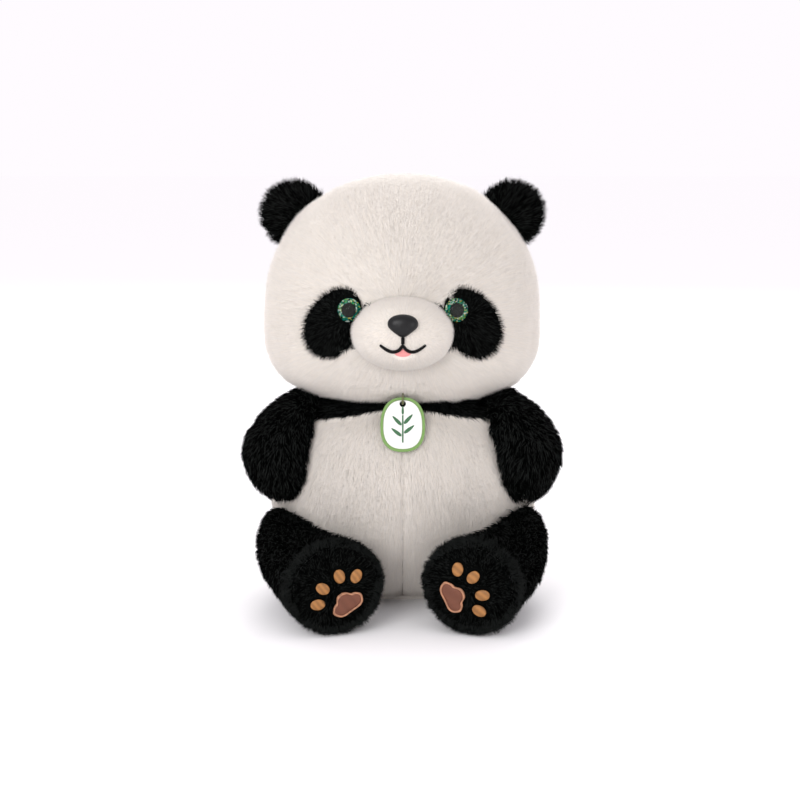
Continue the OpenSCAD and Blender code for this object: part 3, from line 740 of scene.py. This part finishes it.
class PANDA_OT_ears(bpy.types.Operator):
    """Makes the two halves of each ear"""
    bl_idname = "panda.ears"
    bl_label = "Ears"

    def execute(self, context):
        for side, sign in SIDES:
            low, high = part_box(f"{side}_ear_front")
            top = Vector((sign * max(abs(low.x), abs(high.x)), TORSO_Y, high.z))
            root = Vector((sign * min(abs(low.x), abs(high.x)), TORSO_Y + 6 * MM, low.z + 9 * MM))
            way = Vector((sign, 0, 0.78)).normalized()
            held = ("head", f"{side}_ear", root - way * 6 * MM, root + way * 14 * MM)
            base = np.array(root)
            for half, front in (("front", -1.0), ("back", 1.0)):
                node = f"{side}_ear_{half}"
                shell = read(node).finer(2)
                cover = mesh_of(f"{node}_cloth", shell.points, shell.faces, black_ground())
                place(cover, held, (node,))
                pile = Pile(2.0, sizes().black_pile * 0.8, 0.82, 0.6 * MM, clump=0.3, tips=0.3, stray=0.12)
                grow(f"{node}_pile", shell, pile, lambda p: unit(p - base), black_shades(), held,
                     "black_plush", 41 + 2 * (sign > 0) + (front > 0),
                     keep=lambda p, out: out[:, 1] * front > -0.05)
        return {"FINISHED"}


class PANDA_OT_eyes(bpy.types.Operator):
    """Gives the safety eyes their glitter, gloss and clear domes"""
    bl_idname = "panda.eyes"
    bl_label = "Eyes"

    def execute(self, context):
        flakes = Finish("eye_glitter")
        spot = flakes.place()
        per_metre = 1 / (0.85 * MM)
        cell = flakes.node("ShaderNodeTexVoronoi", {"feature": "F1"}, Vector=spot, Scale=per_metre, out=1)
        tone = flakes.node("ShaderNodeTexVoronoi", {"feature": "F1"}, Vector=spot, Scale=per_metre, out=0)
        parts = flakes.node("ShaderNodeSeparateColor", {}, cell)
        # The gold and near-white stops at the top of the ramp are partly the flakes' own colour and partly
        # painted glints, flakes shown lit as if they caught the light; the dark teal and green stops below
        # are the flakes' own colour.
        flake_colours_and_glints = flakes.node("ShaderNodeValToRGB", {"stops": (
            (0.0, (0.0, 0.012, 0.01)), (0.3, (0.0, 0.1, 0.06)), (0.48, (0.0, 0.42, 0.36)),
            (0.66, (0.02, 0.42, 0.12)), (0.82, (1.0, 0.8, 0.06)), (0.9, (0.9, 1.0, 0.95)))}, parts)
        flakes.set(Base_Color=flake_colours_and_glints, Roughness=0.25 + 0.3 * tone, Specular_IOR_Level=0.15,
                   Normal=flakes.bump(cell, 0.35 * MM))
        pupil = plastic_finish("pupil_gloss", (0.004, 0.003, 0.002), 0.3, 0.002 * MM, specular=0.15)
        clear = Finish("clear_dome")
        clear.set(Base_Color=(1, 1, 1), Roughness=0.02, IOR=1.49, Transmission_Weight=1.0)
        through = clear.node("ShaderNodeBsdfTransparent", {}, Color=(0.97, 0.99, 0.98, 1))
        gloss = clear.node("ShaderNodeBsdfGlossy", {}, Color=(0.1, 0.1, 0.1, 1), Roughness=0.02)
        rim = clear.node("ShaderNodeFresnel", {}, IOR=1.5)
        shown = clear.node("ShaderNodeMixShader", {}, rim, through, gloss)
        output = clear.tree.nodes["Material Output"]
        clear.tree.links.new(shown.socket, output.inputs["Surface"])
        for side, _ in SIDES:
            for kind, finish in (("glitter_disc", flakes), ("pupil", pupil), ("dome", clear)):
                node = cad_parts[f"{side}_eye_{kind}"]
                node.data.materials.clear()
                node.data.materials.append(finish.material if isinstance(finish, Finish) else finish)
        return {"FINISHED"}


class PANDA_OT_nose(bpy.types.Operator):
    """Moulds the soft-edged nose"""
    bl_idname = "panda.nose"
    bl_label = "Nose"

    def execute(self, context):
        shell = read("nose").finer(2)
        mid = (shell.points.max(0) + shell.points.min(0)) / 2
        half = (shell.points.max(0) - shell.points.min(0)) / 2
        low = smooth((mid[2] - shell.points[:, 2]) / half[2])
        shell.points[:, 0] *= 1 - 0.3 * low
        shell.points[:, 1] += 1.0 * MM
        finish = plastic_finish("nose_satin", tuple(colours().nose), 0.3, 0.03 * MM, specular=0.25)
        piece = mesh_of("nose_moulding", shell.points, shell.faces, finish)
        place(piece, "head", ("nose",))
        return {"FINISHED"}


class PANDA_OT_mouth(bpy.types.Operator):
    """Embroiders the mouth and fits the tongue"""
    bl_idname = "panda.mouth"
    bl_label = "Mouth"

    def execute(self, context):
        line = read("mouth_stitching").finer(1)
        reach = np.abs(line.points[:, 0]).max()
        line = line.moved(0.25 * MM - 0.5 * MM * (np.abs(line.points[:, 0]) / reach) ** 6)
        line.points[:, 1] += 1.1 * MM
        black = thread_finish("mouth_thread", (0.004, 0.004, 0.004), 0.4, sheen=0.0, specular=0.1)
        piece = mesh_of("mouth_line", line.points, line.faces, black)
        place(piece, "head", ("mouth_stitching",))
        felt = Finish("tongue_felt")
        fuzz = felt.noise(0.6 * MM, detail=4)
        c = tuple(colours().tongue)
        felt.set(Base_Color=felt.mix(fuzz, scaled(c, 0.8), c), Roughness=0.9,
                 Normal=felt.bump(fuzz, 0.3 * MM), Sheen_Weight=0.4)
        tongue = read("tongue").finer(1)
        tongue.points[:, 1] += 0.6 * MM
        piece = mesh_of("tongue_felt", tongue.points, tongue.faces, felt.material)
        place(piece, "head", ("tongue",))
        return {"FINISHED"}


# ---- torso -----------------------------------------------------------------


def torso_comb(p):
    """The torso's pile falls, and lies a little away from the middle."""
    sideways, forwards = 0.35 * p[:, 0] / 0.09, 0.25 * (p[:, 1] - TORSO_Y) / 0.07
    return unit(np.stack([sideways, forwards, np.full(len(p), -1.0)], 1))


class PANDA_OT_torso_covers(bpy.types.Operator):
    """Sews the belly, the back, the shoulder band and the base"""
    bl_idname = "panda.torso_covers"
    bl_label = "Torso covers"

    def execute(self, context):
        beside = solids(*TORSO_SIDES)
        white = Pile(2.8, sizes().white_pile, 1.05, 0.45 * MM, clump=0.08, tips=0.2, stray=0.07, soft=0.85)
        fillings = ("torso_stuffing", "bean_bag")
        for node, name, seams, seed in (("left_belly_panel", "left_belly", (belly_seam, side_seams), 51),
                                        ("right_belly_panel", "right_belly", (belly_seam, side_seams), 52),
                                        ("back_panel", "back", (side_seams,), 53)):
            shell = sewn(outside(node, *fillings).finer(2), seams, 50)
            cover = mesh_of(f"{name}_cover", *closed(shell, 1.6 * MM), white_ground())
            place(cover, "torso", (node,))
            grow(f"{name}_pile", shell, white, torso_comb, white_shades(), "torso", "white_plush", seed,
                 trim=near_floor(trimmed(seams, 0.75)), solids=beside)
        band = sewn(outside("shoulder_yoke", "torso_stuffing").finer(2), (), 54)
        cover = mesh_of("shoulder_band_cover", *closed(band, 1.6 * MM), black_ground())
        place(cover, "torso", ("shoulder_yoke",))
        black = Pile(1.5, sizes().black_pile * 0.9, 1.0, 0.7 * MM)
        grow("shoulder_band_pile", band, black, torso_comb, black_shades(), "torso", "black_plush", 54,
             keep=lambda p, out: p[:, 2] < BODY_TOP - 0.5 * MM, solids=beside)
        base = read("base_panel").finer(2)
        base.points[:, 2] = np.maximum(base.points[:, 2], 0)
        place(mesh_of("base_cover", base.points, base.faces, white_ground()), "torso",
              ("base_panel",))
        return {"FINISHED"}


# ---- limbs -----------------------------------------------------------------


def limb_comb(line, side):
    """A limb's pile lies along it towards the paw."""
    at, way = bezier(line, side)
    def comb(p):
        near = np.argmin(((p[:, None, :] - at[None]) ** 2).sum(2), axis=1)
        return way[near] + np.where((near == len(at) - 1)[:, None], unit(p - at[-1]) * 0.6, 0)
    return comb


SHOULDER_IN = 15 * MM
SHOULDER_DOWN = 4 * MM
THIGH_DOWN = 11 * MM
HEEL_DOWN = 5.2 * MM
NOTCH_DEEP = 1.5 * MM


def sloped_shoulder(shell, sign):
    """The shoulder's filling has settled, so the arm slopes away from the neck."""
    p = shell.points.copy()
    away = smooth((sign * p[:, 0] - 58 * MM) / (46 * MM))
    p[:, 0] -= sign * SHOULDER_IN * away * smooth((p[:, 2] - 112 * MM) / (46 * MM))
    p[:, 2] -= SHOULDER_DOWN * away * smooth((p[:, 2] - 140 * MM) / (20 * MM))
    return Shell(p, shell.faces)


def settled_thigh(shell, sign):
    """The thigh's filling has settled between the knee and the paw."""
    p = shell.points.copy()
    inner = smooth((97 * MM - sign * p[:, 0]) / (40 * MM))
    between = inner * smooth((TORSO_Y - 22 * MM - p[:, 1]) / (24 * MM))
    before_paw = smooth((p[:, 1] - TORSO_Y + 112 * MM) / (26 * MM))
    p[:, 2] -= THIGH_DOWN * between * before_paw * smooth((p[:, 2] - 30 * MM) / (34 * MM))
    return Shell(p, shell.faces)


def shoulder(side, sign):
    """The torso, the arm and two points along the arm's cloth, from its root to where it hangs free."""
    y = TORSO_Y
    root, free = (sign * 60 * MM, y - 2 * MM, 148 * MM), (sign * 92 * MM, y - 24 * MM, 134 * MM)
    return ("torso", f"{side}_arm", root, free)


def hip(side, sign):
    """The torso, the leg and two points along the leg's cloth, from its root to where it hangs free."""
    y = TORSO_Y
    root, free = (sign * 66 * MM, y - 4 * MM, 46 * MM), (sign * 78 * MM, y - 46 * MM, 44 * MM)
    return ("torso", f"{side}_leg", root, free)


class PANDA_OT_arms(bpy.types.Operator):
    """Sews the arms"""
    bl_idname = "panda.arms"
    bl_label = "Arms"

    def execute(self, context):
        pile = Pile(1.3, sizes().black_pile, 1.0, 0.72 * MM, clump=0.55, clump_size=9 * MM, tips=0.5,
                    segments=2)
        for side, sign in SIDES:
            node = f"{side}_arm_cover"
            others = solids("left_belly_panel", "right_belly_panel", "back_panel", "shoulder_yoke",
                            "face_panel", "head_back_panel", f"{side}_leg_cover")
            shell = sloped_shoulder(sewn(outside(node, f"{side}_arm_stuffing").finer(2), (), 61), sign)
            cover = mesh_of(f"{side}_arm_cloth", *closed(shell, 1.6 * MM), black_ground())
            held = shoulder(side, sign)
            place(cover, held, (node,))
            grow(f"{side}_arm_pile", shell, pile, limb_comb(ARM_LINE, sign), black_shades(), held,
                 "black_plush",
                 61 + (sign > 0), solids=others)
        return {"FINISHED"}


class PANDA_OT_legs(bpy.types.Operator):
    """Sews the legs and their soles"""
    bl_idname = "panda.legs"
    bl_label = "Legs"

    def execute(self, context):
        pile = Pile(1.3, sizes().black_pile * 0.95, 1.0, 0.72 * MM, clump=0.5, clump_size=9 * MM, tips=0.45,
                    segments=2)
        for side, sign in SIDES:
            node = f"{side}_leg_cover"
            others = solids("left_belly_panel", "right_belly_panel", "back_panel", f"{side}_arm_cover")
            at, way = bezier(LEG_LINE, sign)
            end, out_way = at[-1], way[-1]
            sole = solids(f"{side}_sole_panel")
            shell = settled_thigh(sewn(outside(node, f"{side}_leg_stuffing").finer(2), (), 63), sign)
            cover = mesh_of(f"{side}_leg_cloth", *closed(shell, 1.6 * MM), black_ground())
            held = hip(side, sign)
            place(cover, held, (node,))
            grow(f"{side}_leg_pile", shell, pile, limb_comb(LEG_LINE, sign), black_shades(), held,
                 "black_plush", 63 + (sign > 0), solids=others,
                 trim=lambda p: np.clip(0.6 + np.abs((p - end) @ out_way) / 0.03, 0.6, 1))
            # A ring of pile round the paw's rim, all of the grey shade: a painted highlight, the lighter
            # fur tips where light catches the edge of the foot, painted all round the rim.
            rim = shell.only((np.abs((shell.points - end) @ out_way) < 9 * MM)[shell.faces].all(1))
            edge = Pile(2.0, 6.5 * MM, 0.5, 0.5 * MM, clump=0.4, tips=0.5, segments=2)
            grow(f"{side}_paw_edge", rim, edge, lambda p: unit(p - end), black_shades()[2:], held,
                 "black_plush", 67 + (sign > 0))
            panel = facing(f"{side}_sole_panel", lambda c: np.tile(out_way, (len(c), 1)), 0.5).finer(3)
            across = panel.points - end - ((panel.points - end) @ out_way)[:, None] * out_way
            share = np.linalg.norm(across, axis=1) / np.linalg.norm(across, axis=1).max()
            drop = 2.2 * MM * (1 - share**2) - 1.2 * MM * share**6
            spread = 0.12 * across * (share**2)[:, None]
            panel = Shell(panel.points + drop[:, None] * out_way + spread, panel.faces)
            cloth = mesh_of(f"{side}_sole_cloth", *closed(panel, 1.6 * MM), black_ground())
            place(cloth, f"{side}_leg", (f"{side}_sole_panel",))
            pads = solids(f"{side}_main_pad", f"{side}_pad_edging", f"{side}_toe_pads")
            prints = away_from(pads, 2.2 * MM)
            short = Pile(2.2, sizes().sole_pile, 0.75, 0.6 * MM, clump=0.4, tips=0.4)
            grow(f"{side}_sole_pile", panel, short, lambda p: unit(p - end) + [0, 0, 0.3], black_shades(),
                 f"{side}_leg", "black_plush", 65 + (sign > 0), keep=prints)
        return {"FINISHED"}


def lobed(shell, side, out_way):
    """Gives the main pad a round heel and, on the side of the toes, three lobes."""
    pad, toes = read(f"{side}_pad_edging").points, read(f"{side}_toe_pads").points
    middle = (pad.max(0) + pad.min(0)) / 2
    up = along((toes.mean(0) - middle)[None], out_way[None])[0]
    across = np.cross(up, out_way)
    reach = np.abs((pad - middle) @ across).max()
    u, v = ((shell.points - middle) @ across) / reach, (shell.points - middle) @ up
    ridge = np.polyval(np.polyfit(((pad - middle) @ across) / reach, (pad - middle) @ up, 2), u)
    heel = smooth((ridge + 2.5 * MM - v) / (5 * MM))
    notch = np.exp(-(((np.abs(u) - 0.5) / 0.14) ** 2)) * (1 - heel)
    by = -HEEL_DOWN * np.clip(1 - u * u, 0, 1) * heel - NOTCH_DEEP * notch
    return Shell(shell.points + by[:, None] * up, shell.faces)


class PANDA_OT_paw_prints(bpy.types.Operator):
    """Pads and embroiders the paw prints on the soles"""
    bl_idname = "panda.paw_prints"
    bl_label = "Paw prints"

    def execute(self, context):
        c = colours()
        satin = thread_finish("pad_satin", tuple(c.pad), 0.8, pitch=0.8 * MM, sheen=0.0, specular=0.3)
        edge = thread_finish("pad_edge_thread", tuple(c.edging), 0.55, sheen=0.0)
        toe = thread_finish("toe_thread", tuple(c.toes), 0.5, sheen=0.0, specular=0.4)
        for side, sign in SIDES:
            at, way = bezier(LEG_LINE, sign)
            lift = 1.6 * MM * way[-1]
            for kind, name, finish, slot in (("main_pad", "main_pad_satin", satin, "brown_satin"),
                                             ("pad_edging", "main_pad_edge", edge, "tan_thread"),
                                             ("toe_pads", "toe_pads_thread", toe, "caramel_thread")):
                shell = read(f"{side}_{kind}").finer(2)
                if "pad" in kind and kind != "toe_pads":
                    shell = lobed(shell, side, way[-1])
                piece = mesh_of(f"{side}_{name}", shell.points + lift, shell.faces, finish)
                place(piece, f"{side}_leg", (f"{side}_{kind}",))
        return {"FINISHED"}


# ---- trim and filling ------------------------------------------------------


class PANDA_OT_trim(bpy.types.Operator):
    """Finishes the neck seam, the washers and the hang tag"""
    bl_idname = "panda.trim"
    bl_label = "Trim"

    def execute(self, context):
        c = colours()
        rim = plastic_finish("tag_rim_gloss", tuple(c.tag_rim), 0.22, 0.01 * MM, coat=0.6)
        finishes = {
            "neck_stitching": thread_finish("neck_thread", (0.7, 0.68, 0.64), 0.6),
            "nose_washer": plastic_finish("washer_white", (0.8, 0.8, 0.78), 0.4, 0.01 * MM),
            "tag_cord": thread_finish("tag_cord_twist", (0.10, 0.105, 0.02), 0.5, pitch=0.7 * MM),
            "tag_plate": plastic_finish("tag_card", (0.8, 0.8, 0.77), 0.35, 0.004 * MM, coat=0.3),
            "tag_rim": rim,
            "tag_motif": plastic_finish("tag_ink", (0.02, 0.11, 0.035), 0.35, 0.01 * MM),
        }
        for side, _ in SIDES:
            finishes[f"{side}_eye_washer"] = finishes["nose_washer"]
        for name, finish in finishes.items():
            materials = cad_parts[name].data.materials
            materials.clear()
            materials.append(finish)
        return {"FINISHED"}


class PANDA_OT_filling(bpy.types.Operator):
    """Fills the covers with loose fibre, and the seat with a bag of beans"""
    bl_idname = "panda.filling"
    bl_label = "Filling"

    def execute(self, context):
        fibre = Finish("loose_fibre")
        wisps = fibre.noise(2.5 * MM, detail=6, rough=0.7)
        fibre.set(Base_Color=fibre.mix(wisps, (0.62, 0.62, 0.6), (0.85, 0.85, 0.83)), Roughness=0.95,
                  Normal=fibre.bump(wisps, 1.5 * MM), Sheen_Weight=0.3)
        weave = Finish("bean_bag_cloth")
        threads = weave.node("ShaderNodeTexWave", {}, Vector=weave.place(), Scale=50.0, Distortion=1.0)
        weave.set(Base_Color=weave.mix(threads, (0.42, 0.36, 0.27), (0.55, 0.48, 0.37)), Roughness=0.9,
                  Normal=weave.bump(threads, 0.3 * MM))
        inside = [("head_stuffing", "head"), ("muzzle_stuffing", "head"), ("torso_stuffing", "torso"),
                  ("bean_bag", "torso")]
        for side, sign in SIDES:
            inside.append((f"{side}_arm_stuffing", shoulder(side, sign)))
            inside.append((f"{side}_leg_stuffing", hip(side, sign)))
        for node, held in inside:
            shell = read(node)
            if "arm" in node or "leg" in node:
                settle = sloped_shoulder if "arm" in node else settled_thigh
                shell = settle(shell, 1 if node.startswith("left") else -1)
            lumps = -0.8 * MM + 0.6 * MM * waves(shell.points, 14 * MM, 71, rows=1)[:, 0]
            shell = shell.moved(lumps)
            bag = node == "bean_bag"
            piece = mesh_of(f"{node}_wad" if not bag else "bean_bag_sewn", shell.points, shell.faces,
                            weave.material if bag else fibre.material)
            place(piece, held, (node,))
        return {"FINISHED"}


# ---- stage -----------------------------------------------------------------


class PANDA_OT_stage(bpy.types.Operator):
    """Sets the camera, the pale floor and the soft studio light"""
    bl_idname = "panda.stage"
    bl_label = "Stage"

    def execute(self, context):
        scene = context.scene
        target = Vector((-0.0019, TORSO_Y, 0.1418))
        height = math.radians(10)
        camera = bpy.data.objects.new("camera", bpy.data.cameras.new("camera"))
        camera.data.lens = 60.7
        camera.data.sensor_width = 36
        camera.location = target + Vector((0, -math.cos(height), math.sin(height)))
        camera.rotation_euler = (target - camera.location).to_track_quat("-Z", "Y").to_euler()
        scene.collection.objects.link(camera)
        scene.camera = camera
        floor_points = np.array([(-30, -30, 0), (30, -30, 0), (30, 30, 0), (-30, 30, 0)], float)
        paint = Finish("floor_paper")
        paint.set(Base_Color=(0.995, 0.99, 0.995), Roughness=0.9, Specular_IOR_Level=0.0)
        floor = mesh_of("floor", floor_points, np.array([(0, 1, 2, 3)]), paint.material, smooth=False)
        world = bpy.data.worlds.new("studio")
        world.use_nodes = True
        world.node_tree.nodes["Background"].inputs[0].default_value = (1, 0.965, 1, 1)
        world.node_tree.nodes["Background"].inputs[1].default_value = 1.0
        scene.world = world
        scene.view_settings.view_transform = "Standard"
        lights = (("key", (-0.7, -1.5, 0.9), 0.9, 16),
                  ("fill", (1.2, -1.3, 0.3), 1.0, 6),
                  ("back", (0.2, 1.3, 1.4), 1.2, 14))
        for name, place_at, size, power in lights:
            lamp = bpy.data.objects.new(name, bpy.data.lights.new(name, "AREA"))
            lamp.data.size, lamp.data.energy = size, power
            lamp.location = place_at
            lamp.rotation_euler = (target - lamp.location).to_track_quat("-Z", "Y").to_euler()
            scene.collection.objects.link(lamp)
        return {"FINISHED"}


# ---- panel and registration ------------------------------------------------

OPERATORS = (
    PANDA_OT_stage, PANDA_OT_head_covers, PANDA_OT_muzzle, PANDA_OT_eye_patches, PANDA_OT_ears,
    PANDA_OT_eyes, PANDA_OT_nose, PANDA_OT_mouth, PANDA_OT_torso_covers, PANDA_OT_arms, PANDA_OT_legs,
    PANDA_OT_paw_prints, PANDA_OT_trim, PANDA_OT_filling,
)


class PANDA_PT_pieces(bpy.types.Panel):
    """Lists the steps that make the panda"""
    bl_idname = "PANDA_PT_pieces"
    bl_label = "Plush Panda"
    bl_space_type = "VIEW_3D"
    bl_region_type = "UI"
    bl_category = "Panda"

    def draw(self, context):
        layout = self.layout
        for group in (context.scene.panda_sizes, context.scene.panda_colours):
            box = layout.box()
            for name in group.__annotations__:
                box.prop(group, name)
        for step in OPERATORS:
            layout.operator(step.bl_idname)


def register():
    for cls in (PandaSizes, PandaColours, *OPERATORS, PANDA_PT_pieces):
        bpy.utils.register_class(cls)
    bpy.types.Scene.panda_sizes = PointerProperty(type=PandaSizes)
    bpy.types.Scene.panda_colours = PointerProperty(type=PandaColours)


def unregister():
    del bpy.types.Scene.panda_sizes, bpy.types.Scene.panda_colours
    for cls in reversed((PandaSizes, PandaColours, *OPERATORS, PANDA_PT_pieces)):
        bpy.utils.unregister_class(cls)


def main():
    register()
    for step in OPERATORS:
        group, name = step.bl_idname.split(".")
        getattr(getattr(bpy.ops, group), name)()


if __name__ == "__main__":
    main()
